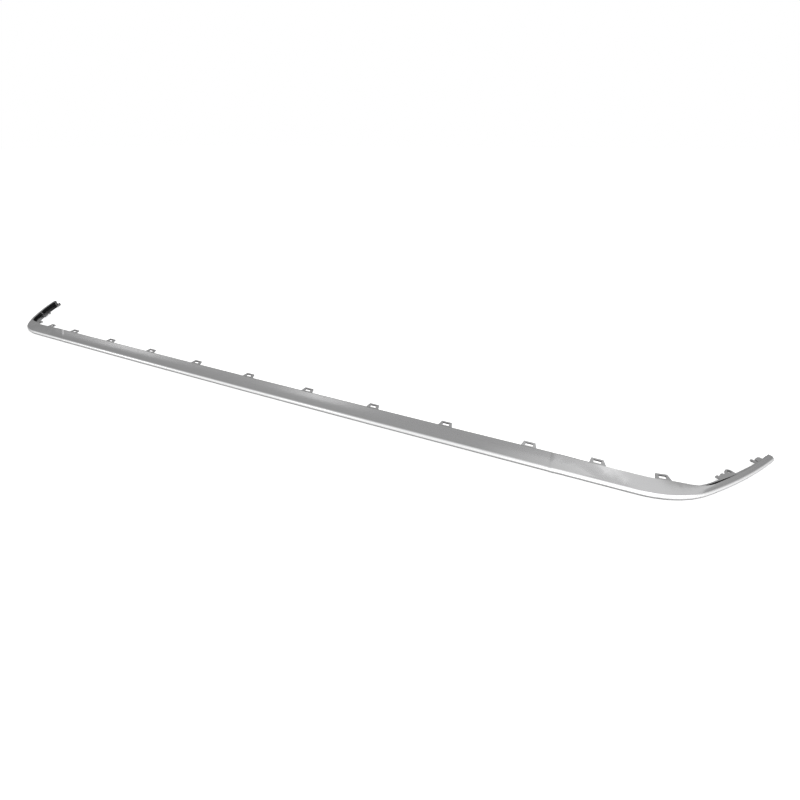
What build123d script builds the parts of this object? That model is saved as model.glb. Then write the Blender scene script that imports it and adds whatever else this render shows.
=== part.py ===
from build123d import *
from math import atan2, cos, degrees, radians
import os

# One-piece moulded trim strip that wraps the front and both corners of a car bumper.
# All sizes are in millimetres. +X runs along the strip to its right end, +Y points
# towards the car, +Z is up. The origin is the middle of the flat underside at mid
# length. Stations are measured along the plan from mid length to either tip, depths
# inwards from the outer bottom edge.

# Plan of the outer bottom edge, from the middle to one tip
FRONT_LENGTH = 692.0
FRONT_RADIUS = 60000.0
CORNER_RADIUS = 128.0
CORNER_TURN = 45.0
WING_RADIUS = 760.0
WING_LENGTH = 163.0

# Section of the front
FACE_HEIGHT = 31.5
FACE_LEAN = 6.3
FACE_CROWN = 0.8
BEAD_HEIGHT = 10.0
BEAD_PROUD = 2.0
BEAD_FOOT = 3.0
SECTION_DEPTH = 16.0
WALL = 2.5
LIP_HEIGHT = 7.0
LIP_WALL = 2.0

# Round the corner the brow of the face swings back and down, then follows the wing.
# A lead is the distance before the corner; the peak and the tails lie past its start.
BROW_SETBACK = 16.0
SETBACK_LEAD = 97.0
SETBACK_PEAK = 48.0
SETBACK_TAIL = 119.0
FALL_LEAD = 112.0
FALL_TAIL = 98.0
WING_LEAN = 4.0
WING_HEIGHT = 14.3
TIP_HEIGHT = 17.2
TIP_SLANT = 13.5
TIP_BULGE = 2.5

# The lip behind the channel swings back with the brow and closes in to the tip
LIP_SETBACK = 11.5
LIP_CLOSING = 5.0
CLOSING_LENGTH = 170.0

# Spacing of the sections that the corner and the wing are lofted through
LOFT_LEAD = 122.0
LOFT_STEPS = 26

# Snap tabs that point back from the brow: distances before the corner
TAB_SETBACKS = (554.0, 419.0, 287.0, 155.0, 58.0, -38.0)
TAB_BASE_WIDTH = 23.0
TAB_END_WIDTH = 17.0
TAB_REACH = 10.5
TAB_RISE = 2.0
TAB_THICKNESS = 2.0
TAB_DROP = 0.4
TAB_ROOT = 0.8
WINDOW_WIDTH = 11.0
WINDOW_LENGTH = 5.2
WINDOW_MARGIN = 2.3

# Forked bracket with an eye behind each wing, and the end clip near each tip
BRACKET_FROM_TIP = 103.0
BRACKET_WIDTH = 33.0
BRACKET_REACH = 6.0
BRACKET_THICKNESS = 3.0
BRACKET_DROP = 0.5
PRONG_WIDTH = 4.0
PRONG_PITCH = 11.0
PRONG_REACH = 8.0
EYE_RADIUS = 5.5
EYE_BORE = 2.75
CLIP_FROM_TIP = 20.0
CLIP_THICKNESS = 2.5
LOBE_WIDTH = 13.0
LOBE_REACH = 6.0
LOBE_ROUND = 3.0
HOOK_WIDTH = 3.0
HOOK_REACH = 7.0
HOOK_HEAD = 2.2
HOOK_SETBACK = 11.0
PLATE_ROOT = 1.2

# Ribs across the channel: before the corner, past its start, and back from the tip
RIB_THICKNESS = 2.0
RIB_DROP = 1.5
FRONT_RIB_SETBACKS = (623.0, 487.0, 353.0, 221.0, 107.0, 15.0)
CORNER_RIB_AHEAD = 72.0
WING_RIBS_FROM_TIP = (102.0, 16.0)

FRONT_TURN = degrees(FRONT_LENGTH / FRONT_RADIUS)
WING_TURN = degrees(WING_LENGTH / WING_RADIUS)
CORNER_LENGTH = CORNER_RADIUS * radians(CORNER_TURN)
HALF_LENGTH = FRONT_LENGTH + CORNER_LENGTH + WING_LENGTH
SEAT_MIDDLE = (BEAD_FOOT + SECTION_DEPTH) / 2
LOFT_START = FRONT_LENGTH - LOFT_LEAD

# Cutting solids reach well past the strip
CUTTER_REACH = 150.0
CUTTER_HEIGHT = 80.0


def half_plan():
    """Outer bottom edge of the right half: three tangent arcs."""
    front = JernArc((0, 0), (1, 0), FRONT_RADIUS, FRONT_TURN)
    corner = JernArc(front @ 1, front % 1, CORNER_RADIUS, CORNER_TURN)
    wing = JernArc(corner @ 1, corner % 1, WING_RADIUS, WING_TURN)
    return Wire([front, corner, wing])


PLAN = half_plan()


def frame_at(station):
    """Plane at a distance along the plan: x along the strip, y inwards, z up."""
    share = station / HALF_LENGTH
    along = PLAN.tangent_at(share)
    return Plane(origin=PLAN.position_at(share), x_dir=along, z_dir=(0, 0, 1))


def eased(station, start, end):
    """Smooth share, from 0 at the start to 1 at the end."""
    share = min(max((station - start) / (end - start), 0), 1)
    return share * share * (3 - 2 * share)


def swings(station):
    """Shares of the swing back into the corner and of the return to the wing."""
    peak = FRONT_LENGTH + SETBACK_PEAK
    swing = eased(station, FRONT_LENGTH - SETBACK_LEAD, peak)
    return swing, eased(station, peak, FRONT_LENGTH + SETBACK_TAIL)


def brow(station):
    """Depth and height of the face's top edge."""
    swing, return_swing = swings(station)
    lean = FACE_LEAN + BROW_SETBACK * swing + (WING_LEAN - FACE_LEAN - BROW_SETBACK) * return_swing
    fall_end = FRONT_LENGTH + FALL_TAIL
    fall = (FACE_HEIGHT - WING_HEIGHT) * eased(station, FRONT_LENGTH - FALL_LEAD, fall_end)
    rise = (TIP_HEIGHT - WING_HEIGHT) * eased(station, fall_end, HALF_LENGTH)
    return Vector(BEAD_PROUD + lean, FACE_HEIGHT - fall + rise)


def lip_depth(station):
    """Depth of the back of the lip."""
    swing, return_swing = swings(station)
    closing = eased(station, HALF_LENGTH - CLOSING_LENGTH, HALF_LENGTH)
    return SECTION_DEPTH + LIP_SETBACK * (swing - return_swing) - LIP_CLOSING * closing


def crease():
    """Depth and height of the groove between the bead and the face."""
    return Vector(BEAD_PROUD, BEAD_HEIGHT)


def into_wall(station):
    """Direction through the wall of the face, from outside to inside."""
    rising = (brow(station) - crease()).normalized()
    return Vector(rising.Y, -rising.X)


def inner_crease(station, depth):
    """Point at a depth on the inner side of the face."""
    start = crease() + into_wall(station) * WALL
    rising = brow(station) - crease()
    return Vector(depth, start.Y + (depth - start.X) * rising.Y / rising.X)


def section(station):
    """Section of the moulding: bead, face, open channel and lip."""
    foot = Vector(BEAD_FOOT, 0)
    top = brow(station)
    bulge = (crease() + top) / 2 - into_wall(station) * FACE_CROWN
    bead = ThreePointArc(foot, (0, BEAD_HEIGHT / 2), crease())
    face = ThreePointArc(crease(), bulge, top)
    inner_foot = BEAD_PROUD + WALL
    back = lip_depth(station)
    inside = Polyline(
        top,
        top + into_wall(station) * WALL,
        inner_crease(station, inner_foot),
        (inner_foot, WALL),
        (back - LIP_WALL, WALL),
        (back - LIP_WALL, LIP_HEIGHT),
        (back, LIP_HEIGHT),
        (back, 0),
        foot,
    )
    return make_face(Wire([bead, face] + list(inside.edges())))


def upright_at(station):
    """Plane across the strip: x inwards, y up."""
    spot = frame_at(station)
    return Plane(origin=spot.origin, x_dir=spot.y_dir, z_dir=spot.x_dir)


def both_sides(solid):
    """The solid and its mirror image on the other half."""
    return [solid, mirror(solid, about=Plane.YZ)]


def front_run():
    """Constant section swept along the long, almost straight front."""
    right = frame_at(LOFT_START).origin
    path = ThreePointArc(right, (0, 0), (-right.X, right.Y))
    return sweep(upright_at(LOFT_START) * section(LOFT_START), path=Wire([path]))


def corner_and_wing():
    """Changing section lofted round the corner to the tip."""
    run = HALF_LENGTH - LOFT_START
    stations = [LOFT_START + run * i / LOFT_STEPS for i in range(LOFT_STEPS + 1)]
    return loft([upright_at(station) * section(station) for station in stations])


def rib(station):
    """Thin web across the channel, rooted in the face, the floor and the lip."""
    half_wall = WALL / 2
    rising = (brow(station) - crease()).normalized()
    foot_depth = BEAD_PROUD + half_wall
    lip_middle = lip_depth(station) - LIP_WALL / 2
    outline = Polyline(
        (foot_depth, half_wall),
        crease() + into_wall(station) * half_wall,
        brow(station) + into_wall(station) * half_wall - rising * RIB_DROP,
        (lip_middle, LIP_HEIGHT - RIB_DROP),
        (lip_middle, half_wall),
        close=True,
    )
    return extrude(upright_at(station) * make_face(outline), amount=RIB_THICKNESS / 2, both=True)


def rim_point(station):
    """Point on the rim where a tab starts."""
    top = brow(station)
    depth = top.X + into_wall(station).X * WALL / 2
    return frame_at(station).from_local_coords(Vector(0, depth, top.Y - TAB_DROP))


def lip_point(station):
    """Point on the back of the lip where a plate starts."""
    return frame_at(station).from_local_coords(Vector(0, lip_depth(station), LIP_HEIGHT - BRACKET_DROP))


def seat(edge_point, station):
    """Place on an edge line: x along the line, y inwards, z up."""
    here = edge_point(station)
    ahead = edge_point(station + 1) - here
    inwards = Vector(0, 0, 1).cross(ahead)
    return Plane(origin=here, x_dir=ahead, z_dir=ahead.cross(inwards))


def snap_tab(station):
    """Trapezoid tab with a window, rising slightly towards its end."""
    pitch = atan2(TAB_RISE, TAB_REACH)
    reach = TAB_REACH / cos(pitch)
    outline = Polyline(
        (-TAB_BASE_WIDTH / 2, -TAB_ROOT),
        (-TAB_BASE_WIDTH / 2, TAB_ROOT),
        (-TAB_END_WIDTH / 2, reach),
        (TAB_END_WIDTH / 2, reach),
        (TAB_BASE_WIDTH / 2, TAB_ROOT),
        (TAB_BASE_WIDTH / 2, -TAB_ROOT),
        close=True,
    )
    window = Pos(0, WINDOW_MARGIN + WINDOW_LENGTH / 2) * Rectangle(WINDOW_WIDTH, WINDOW_LENGTH)
    plate = extrude(make_face(outline) - window, amount=-TAB_THICKNESS)
    return seat(rim_point, station) * Rot(degrees(pitch), 0, 0) * plate


def finger(middle, width, reach):
    """Finger that points back from the lip, as a flat face."""
    length = reach + PLATE_ROOT
    return Pos(middle, reach - length / 2) * Rectangle(width, length)


def corner_bracket():
    """Plate that points back from the lip, with two prongs and an eye."""
    half = BRACKET_WIDTH / 2
    near = -half + PRONG_WIDTH / 2
    prongs = [finger(near + step, PRONG_WIDTH, PRONG_REACH) for step in (0, PRONG_PITCH)]
    eye = Pos(half - EYE_RADIUS, BRACKET_REACH)
    outline = finger(0, BRACKET_WIDTH, BRACKET_REACH) + prongs
    outline = outline + eye * Circle(EYE_RADIUS) - eye * Circle(EYE_BORE)
    flat = extrude(outline, amount=-BRACKET_THICKNESS)
    return seat(lip_point, HALF_LENGTH - BRACKET_FROM_TIP) * flat


def end_clip():
    """Rounded lobe and a thin hook that point back from the lip near the tip."""
    lobe = finger(0, LOBE_WIDTH, LOBE_REACH)
    corners = lobe.vertices().sort_by(Axis.Y)[-2:]
    hook = finger(-HOOK_SETBACK, HOOK_WIDTH, HOOK_REACH)
    head = Pos(-HOOK_SETBACK, HOOK_REACH) * Circle(HOOK_HEAD)
    outline = fillet(corners, LOBE_ROUND) + hook + head
    flat = extrude(outline, amount=-CLIP_THICKNESS)
    return seat(lip_point, HALF_LENGTH - CLIP_FROM_TIP) * flat


def beyond_tip():
    """Solid past the slanted, rounded end of the wing."""
    end = frame_at(HALF_LENGTH)
    side = Plane(origin=end.origin, x_dir=end.x_dir, z_dir=end.y_dir * -1)
    shoulder = (-TIP_SLANT, TIP_HEIGHT)
    bulge = (-TIP_SLANT / 2 + TIP_BULGE, TIP_HEIGHT / 2 + TIP_BULGE)
    nose = ThreePointArc((0, 0), bulge, shoulder)
    behind = (-TIP_SLANT * 2, TIP_HEIGHT * 2)
    rest = Polyline(shoulder, behind, (CUTTER_HEIGHT, CUTTER_HEIGHT), (CUTTER_HEIGHT, 0), (0, 0))
    face = side * make_face(Wire([nose] + list(rest.edges())))
    return extrude(face, amount=CUTTER_REACH, both=True)


def rib_stations():
    """Stations of the ribs of one half."""
    front = [FRONT_LENGTH - setback for setback in FRONT_RIB_SETBACKS]
    wing = [HALF_LENGTH - distance for distance in WING_RIBS_FROM_TIP]
    return front + [FRONT_LENGTH + CORNER_RIB_AHEAD] + wing


def bumper_moulding():
    """Channel with its ribs, tabs, brackets and end clips as one moulding."""
    moulding = front_run() + both_sides(corner_and_wing())
    for station in rib_stations():
        moulding += both_sides(rib(station))
    moulding += snap_tab(0)
    for setback in TAB_SETBACKS:
        moulding += both_sides(snap_tab(FRONT_LENGTH - setback))
    moulding += both_sides(corner_bracket())
    moulding += both_sides(end_clip())
    moulding -= both_sides(beyond_tip())
    return Pos(0, -SEAT_MIDDLE, 0) * moulding


os.makedirs("parts", exist_ok=True)
strip = bumper_moulding()
print("solids", len(strip.solids()), "volume", strip.volume, "valid", strip.is_valid)
print("box", strip.bounding_box())
export_step(strip, "parts/bumper_moulding.step")
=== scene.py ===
import bpy
import math
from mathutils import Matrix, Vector

# One-piece satin silver trim strip on a white studio floor. Metres, +Y towards the car.

# Camera: angles in degrees, the focal length and the picture's width in pixels
CAMERA_PLACE = (0.5745, -0.5414, 0.4231)
CAMERA_TURN = 24.63
CAMERA_DIP = 31.30
CAMERA_NEAR = 0.01
FOCAL_PIXELS = 426.8
FRAME_PIXELS = 800.0
SENSOR = 36.0

# Plating: colours, then the lowest and highest roughness of its faint cloud
SATIN = (0.300, 0.300, 0.302, 1)
# The bright colour is a painted highlight: the bead's reflection painted into its base colour
PAINTED_HIGHLIGHT = (0.900, 0.900, 0.905, 1)
EDGE_TINT = (0.55, 0.55, 0.55, 1)
GLOSS = (0.22, 0.28)
CLOUD_SCALE = 35.0
CLOUD_DETAIL = 4.0

# The painted highlight along the bead, fading to the satin colour at its foot and dimmer at its
# top: shares of the bead's height
HIGHLIGHT_FOOT = 0.28
HIGHLIGHT_MIDDLE = (0.60, 0.80)
HIGHLIGHT_TOP_FADE = (0.45, 0.45, 0.452, 1)

# Bare plastic: its own dark grey, and a near-black copy that paints shade inside the channel
PLASTIC_PAINTED_SHADE = (0.010, 0.010, 0.011, 1)
GREY_PLASTIC = (0.045, 0.045, 0.047, 1)
PLASTIC_ROUGHNESS = 0.6
PLASTIC_SHINE = 0.2
GRAIN_SCALE = 1500.0
GRAIN_DETAIL = 2.0
GRAIN_STRENGTH = 0.15
GRAIN_HEIGHT = 0.0002

# World and floor
WHITE = (1, 1, 1, 1)
WORLD_LEVEL = 0.50
FLOOR_SIZE = 60.0
FLOOR_DROP = 0.0002
FLOOR_COLOUR = (0.80, 0.80, 0.80, 1)
FLOOR_ROUGHNESS = 0.9
FLOOR_GLOW = 0.65
# Glow of the floor seen in the plating: an even level, raised into a painted reflection patch
# that rises between two places along the strip and begins a little in front of it
METAL_GLOW_AND_PAINTED_REFLECTION = (0.30, 1.30)
PAINTED_REFLECTION_RISE = (0.45, 0.65)
PAINTED_REFLECTION_START = (-0.012, -0.028)

# Lamps: place along the strip that they face, turn from the front and rise, both in
# degrees, then distance, width, height and brightness seen in the plating
LAMPS = {
    "standing": (0.60, 52, 20, 2.4, 2.1, 2.4, 1.45),
    "beside": (0.60, 15, 16, 2.4, 1.2, 1.9, 0.60),
    "overhead": (0.72, 80, 76, 2.3, 3.2, 2.9, 0.85),
    "strip_left": (-0.34, -54, 5, 3.0, 0.22, 0.7, 3.3),
    "strip_middle": (0.165, -31, 5, 3.0, 0.22, 0.7, 3.3),
}

# Plan of the strip's outer bottom edge: lengths of its arcs and their radii
FRONT_RADIUS = 60.0
FRONT_LENGTH = 0.692
CORNER_RADIUS = 0.128
CORNER_TURN = math.radians(45)
CORNER_LENGTH = CORNER_RADIUS * CORNER_TURN
WING_RADIUS = 0.760
WING_LENGTH = 0.163
WING_START = FRONT_LENGTH + CORNER_LENGTH
HALF_LENGTH = WING_START + WING_LENGTH
PLAN_STEP = 0.002

# Depths and heights of the section
WALL = 0.0025
SKIN_FOOT_DEPTH = 0.008
BEAD_HEIGHT = 0.010
BEAD_DEPTH = 0.0035
TAB_UNDERSIDE = 0.029
SLACK = 0.0006

# The upright lip, and how its depth swings back round the corner and closes at the tip
LIP_DEPTH = 0.016
LIP_WALL = 0.002
LIP_HEIGHT = 0.007
LIP_SETBACK = 0.0115
LIP_CLOSING = 0.005
CLOSING_LENGTH = 0.170
SETBACK_LEAD = 0.097
SETBACK_PEAK = 0.048
SETBACK_TAIL = 0.119

# Material slots of the strip
SATIN_SLOT = 0
CHANNEL_SHADE_SLOT = 1
GREY_SLOT = 2
BEAD_HIGHLIGHT_SLOT = 3

# Limits on a face's normal: its height, and its part that looks into the channel
LOOKS_DOWN = -0.97
LOOKS_UP = 0.95
ROUGHLY_UP = 0.8
UPRIGHT = 0.1
SQUARE_ON = 0.9
LEANS_IN = 0.15


def plan_points():
    """Stations, points and headings along the right half of the plan."""
    points = []
    x, y, heading, station = 0.0, 0.0, 0.0, 0.0
    while station <= HALF_LENGTH:
        points.append((station, x, y, heading))
        radius = FRONT_RADIUS
        if station > FRONT_LENGTH:
            radius = CORNER_RADIUS
        if station > WING_START:
            radius = WING_RADIUS
        heading += PLAN_STEP / radius
        x += PLAN_STEP * math.cos(heading)
        y += PLAN_STEP * math.sin(heading)
        station += PLAN_STEP
    return points


def eased(station, start, end):
    """0 before the start and 1 after the end, with a soft rise between them."""
    share = min(max((station - start) / (end - start), 0), 1)
    return share * share * (3 - 2 * share)


def lip_depth(station):
    """Depth of the back of the lip, which swings back round the corner."""
    peak = FRONT_LENGTH + SETBACK_PEAK
    swing = eased(station, FRONT_LENGTH - SETBACK_LEAD, peak)
    return_swing = eased(station, peak, FRONT_LENGTH + SETBACK_TAIL)
    closing = eased(station, HALF_LENGTH - CLOSING_LENGTH, HALF_LENGTH)
    return LIP_DEPTH + LIP_SETBACK * (swing - return_swing) - LIP_CLOSING * closing


def math_node(nodes, links, operation, *values):
    """Output of a math node whose inputs are sockets or plain numbers."""
    node = nodes.new("ShaderNodeMath")
    node.operation = operation
    for socket, value in zip(node.inputs, values):
        if isinstance(value, float):
            socket.default_value = value
        else:
            links.new(value, socket)
    return node.outputs[0]


def ranged(nodes, links, value, start, end, low=0.0, high=1.0):
    """A value mapped from one range to another and held at both ends."""
    node = nodes.new("ShaderNodeMapRange")
    node.inputs["From Min"].default_value = start
    node.inputs["From Max"].default_value = end
    node.inputs["To Min"].default_value = low
    node.inputs["To Max"].default_value = high
    links.new(value, node.inputs["Value"])
    return node.outputs["Result"]


def object_axes(nodes, links):
    """Sockets X, Y and Z of the place on the object."""
    place = nodes.new("ShaderNodeTexCoord")
    axes = nodes.new("ShaderNodeSeparateXYZ")
    links.new(place.outputs["Object"], axes.inputs["Vector"])
    return axes.outputs


def noise_node(nodes, links, scale, detail):
    place = nodes.new("ShaderNodeTexCoord")
    noise = nodes.new("ShaderNodeTexNoise")
    noise.inputs["Scale"].default_value = scale
    noise.inputs["Detail"].default_value = detail
    links.new(place.outputs["Object"], noise.inputs["Vector"])
    return noise.outputs["Fac"]


def new_material(name):
    """New material with its main shader, nodes and links."""
    material = bpy.data.materials.new(name)
    material.use_nodes = True
    nodes = material.node_tree.nodes
    return material, nodes["Principled BSDF"], nodes, material.node_tree.links


def plating(name):
    """Metal plating with a faint unevenness in its gloss."""
    material, shader, nodes, links = new_material(name)
    shader.inputs["Base Color"].default_value = SATIN
    shader.inputs["Specular Tint"].default_value = EDGE_TINT
    shader.inputs["Metallic"].default_value = 1.0
    cloud = noise_node(nodes, links, CLOUD_SCALE, CLOUD_DETAIL)
    gloss = ranged(nodes, links, cloud, 0.0, 1.0, *GLOSS)
    links.new(gloss, shader.inputs["Roughness"])
    return material, shader, nodes, links


def bead_painted_highlight():
    """The same plating, with a painted highlight along the middle of the bead that fades at its
    foot and top.
    """
    material, shader, nodes, links = plating("bead_painted_highlight")
    highlight_band = nodes.new("ShaderNodeValToRGB")
    height = ranged(nodes, links, object_axes(nodes, links)["Z"], 0.0, BEAD_HEIGHT)
    links.new(height, highlight_band.inputs["Fac"])
    stops = highlight_band.color_ramp.elements
    stops[0].position = HIGHLIGHT_FOOT
    stops[0].color = SATIN
    stops[1].position = 1.0
    stops[1].color = HIGHLIGHT_TOP_FADE
    for position in HIGHLIGHT_MIDDLE:
        stops.new(position).color = PAINTED_HIGHLIGHT
    links.new(highlight_band.outputs["Color"], shader.inputs["Base Color"])
    return material


def bare_plastic(name, colour):
    """Moulded plastic with a fine spark-eroded grain."""
    material, shader, nodes, links = new_material(name)
    shader.inputs["Base Color"].default_value = colour
    shader.inputs["Roughness"].default_value = PLASTIC_ROUGHNESS
    shader.inputs["Specular IOR Level"].default_value = PLASTIC_SHINE
    bump = nodes.new("ShaderNodeBump")
    bump.inputs["Strength"].default_value = GRAIN_STRENGTH
    bump.inputs["Distance"].default_value = GRAIN_HEIGHT
    links.new(noise_node(nodes, links, GRAIN_SCALE, GRAIN_DETAIL), bump.inputs["Height"])
    links.new(bump.outputs["Normal"], shader.inputs["Normal"])
    return material


def section_place(centre, normal, plan):
    """Nearest station, depth behind the outer bottom edge, and how far the face looks inward."""
    side = 1 if centre.x >= 0 else -1
    reach = abs(centre.x)
    near = min(plan, key=lambda point: (point[1] - reach) ** 2 + (point[2] - centre.y) ** 2)
    station, x, y, heading = near
    inward = Vector((-side * math.sin(heading), math.cos(heading), 0))
    depth = (Vector((centre.x, centre.y, 0)) - Vector((side * x, y, 0))).dot(inward)
    return station, depth, normal.dot(inward)


def surface_slot(centre, normal, plan):
    """Material slot of the face with this centre and normal."""
    station, depth, facing = section_place(centre, normal, plan)
    height = centre.z
    back = lip_depth(station)
    upright = abs(normal.z) < UPRIGHT
    # Faces inside the channel take the near-black plastic, painted shade in the recess
    if normal.z < LOOKS_DOWN:
        return GREY_SLOT if height < SLACK else SATIN_SLOT
    # Bead faces take the plating with the painted highlight
    if facing < 0 and height < BEAD_HEIGHT and depth < BEAD_DEPTH:
        return BEAD_HIGHLIGHT_SLOT
    at_lip_top = abs(height - LIP_HEIGHT) < SLACK / 2 and abs(depth - back) < LIP_WALL + SLACK
    if normal.z > LOOKS_UP and at_lip_top:
        return GREY_SLOT
    if normal.z > ROUGHLY_UP:
        return CHANNEL_SHADE_SLOT if height < WALL + SLACK and depth < back else SATIN_SLOT
    if upright and height < LIP_HEIGHT + SLACK:
        if facing > SQUARE_ON and abs(depth - back) < SLACK:
            return GREY_SLOT
        if facing < -SQUARE_ON and abs(depth - back + LIP_WALL) < SLACK:
            return CHANNEL_SHADE_SLOT
    if upright and facing > SQUARE_ON:
        return CHANNEL_SHADE_SLOT if depth < SKIN_FOOT_DEPTH and height > WALL / 2 else SATIN_SLOT
    leaning_skin = normal.z < -UPRIGHT and facing > LEANS_IN and height > WALL
    return CHANNEL_SHADE_SLOT if leaning_skin and height < TAB_UNDERSIDE else SATIN_SLOT


def dress(strip):
    """Give the strip its plated outside with a painted highlight on the bead, its channel
    darkened to near black as painted shade, and its grey lip.
    """
    mesh = strip.data
    mesh.materials.clear()
    mesh.materials.append(plating("satin_silver")[0])
    mesh.materials.append(bare_plastic("plastic_painted_shade_inside", PLASTIC_PAINTED_SHADE))
    mesh.materials.append(bare_plastic("grey_lip", GREY_PLASTIC))
    mesh.materials.append(bead_painted_highlight())
    plan = plan_points()
    for polygon in mesh.polygons:
        polygon.material_index = surface_slot(polygon.center, polygon.normal, plan)


def add_camera():
    data = bpy.data.cameras.new("camera")
    camera = bpy.data.objects.new("camera", data)
    camera.location = CAMERA_PLACE
    camera.rotation_euler = (math.radians(90 - CAMERA_DIP), 0, math.radians(CAMERA_TURN))
    data.sensor_width = SENSOR
    data.lens = FOCAL_PIXELS * SENSOR / FRAME_PIXELS
    data.clip_start = CAMERA_NEAR
    bpy.context.scene.collection.objects.link(camera)
    bpy.context.scene.camera = camera


def add_lamp(name, aim, turn, rise, distance, width, height, brightness):
    """Soft rectangular lamp that faces a place on the strip."""
    turn = math.radians(turn)
    rise = math.radians(rise)
    level = math.cos(rise)
    away = Vector((math.sin(turn) * level, -math.cos(turn) * level, math.sin(rise)))
    data = bpy.data.lights.new(name, "AREA")
    data.shape = "RECTANGLE"
    data.size = width
    data.size_y = height
    data.energy = brightness * math.pi * width * height
    lamp = bpy.data.objects.new(name, data)
    lamp.location = Vector((aim, 0, 0)) + away * distance
    lamp.rotation_euler = (-away).to_track_quat("-Z", "Y").to_euler()
    bpy.context.scene.collection.objects.link(lamp)


def ray_kinds(nodes, links):
    """Sockets that are 1 for camera rays, and for glossy or transmission rays."""
    path = nodes.new("ShaderNodeLightPath")
    glossy = path.outputs["Is Glossy Ray"]
    glass = path.outputs["Is Transmission Ray"]
    return path.outputs["Is Camera Ray"], math_node(nodes, links, "MAXIMUM", glossy, glass)


def add_world():
    """Even studio light, with white for whatever looks at the background."""
    world = bpy.data.worlds.new("studio")
    world.use_nodes = True
    nodes = world.node_tree.nodes
    links = world.node_tree.links
    light = nodes["Background"]
    light.inputs["Color"].default_value = WHITE
    light.inputs["Strength"].default_value = WORLD_LEVEL
    plain = nodes.new("ShaderNodeBackground")
    plain.inputs["Color"].default_value = WHITE
    mixer = nodes.new("ShaderNodeMixShader")
    links.new(math_node(nodes, links, "MAXIMUM", *ray_kinds(nodes, links)), mixer.inputs[0])
    links.new(light.outputs[0], mixer.inputs[1])
    links.new(plain.outputs[0], mixer.inputs[2])
    links.new(mixer.outputs[0], nodes["World Output"].inputs["Surface"])
    bpy.context.scene.world = world


def glow_and_painted_reflection_in_metal(nodes, links):
    """Level of the floor's glow in the plating, raised into a painted reflection in front of the
    strip's right end.
    """
    axes = object_axes(nodes, links)
    along = ranged(nodes, links, axes["X"], *PAINTED_REFLECTION_RISE)
    in_front = ranged(nodes, links, axes["Y"], *PAINTED_REFLECTION_START)
    painted_reflection_patch = math_node(nodes, links, "MULTIPLY", along, in_front)
    return ranged(nodes, links, painted_reflection_patch, 0.0, 1.0, *METAL_GLOW_AND_PAINTED_REFLECTION)


def floor_material():
    """White that glows for the camera and the plating, with a painted reflection patch for the
    plating, and keeps the strip's shadow.
    """
    material, shader, nodes, links = new_material("white_floor")
    shader.inputs["Base Color"].default_value = FLOOR_COLOUR
    shader.inputs["Roughness"].default_value = FLOOR_ROUGHNESS
    shader.inputs["Specular IOR Level"].default_value = 0.0
    camera, metal_or_glass = ray_kinds(nodes, links)
    metal_glow_and_reflection = math_node(nodes, links, "MULTIPLY", metal_or_glass, glow_and_painted_reflection_in_metal(nodes, links))
    strength = math_node(nodes, links, "MULTIPLY_ADD", camera, FLOOR_GLOW, metal_glow_and_reflection)
    glow = nodes.new("ShaderNodeEmission")
    glow.inputs["Color"].default_value = WHITE
    links.new(strength, glow.inputs["Strength"])
    both = nodes.new("ShaderNodeAddShader")
    links.new(shader.outputs[0], both.inputs[0])
    links.new(glow.outputs[0], both.inputs[1])
    links.new(both.outputs[0], nodes["Material Output"].inputs["Surface"])
    return material


def add_floor():
    bpy.ops.mesh.primitive_plane_add(size=FLOOR_SIZE, location=(0, 0, -FLOOR_DROP))
    floor = bpy.context.object
    floor.name = "floor"
    floor.data.materials.append(floor_material())


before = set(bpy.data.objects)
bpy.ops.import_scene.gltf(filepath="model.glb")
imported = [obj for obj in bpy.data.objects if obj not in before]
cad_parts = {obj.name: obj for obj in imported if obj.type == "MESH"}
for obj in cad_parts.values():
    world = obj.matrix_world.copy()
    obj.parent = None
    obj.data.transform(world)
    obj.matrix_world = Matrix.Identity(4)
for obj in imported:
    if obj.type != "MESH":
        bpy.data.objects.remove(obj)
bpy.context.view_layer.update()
bpy.context.scene.view_settings.view_transform = "Standard"
dress(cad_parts["bumper_moulding"])
add_camera()
add_world()
add_floor()
for lamp_name, lamp in LAMPS.items():
    add_lamp(lamp_name, *lamp)
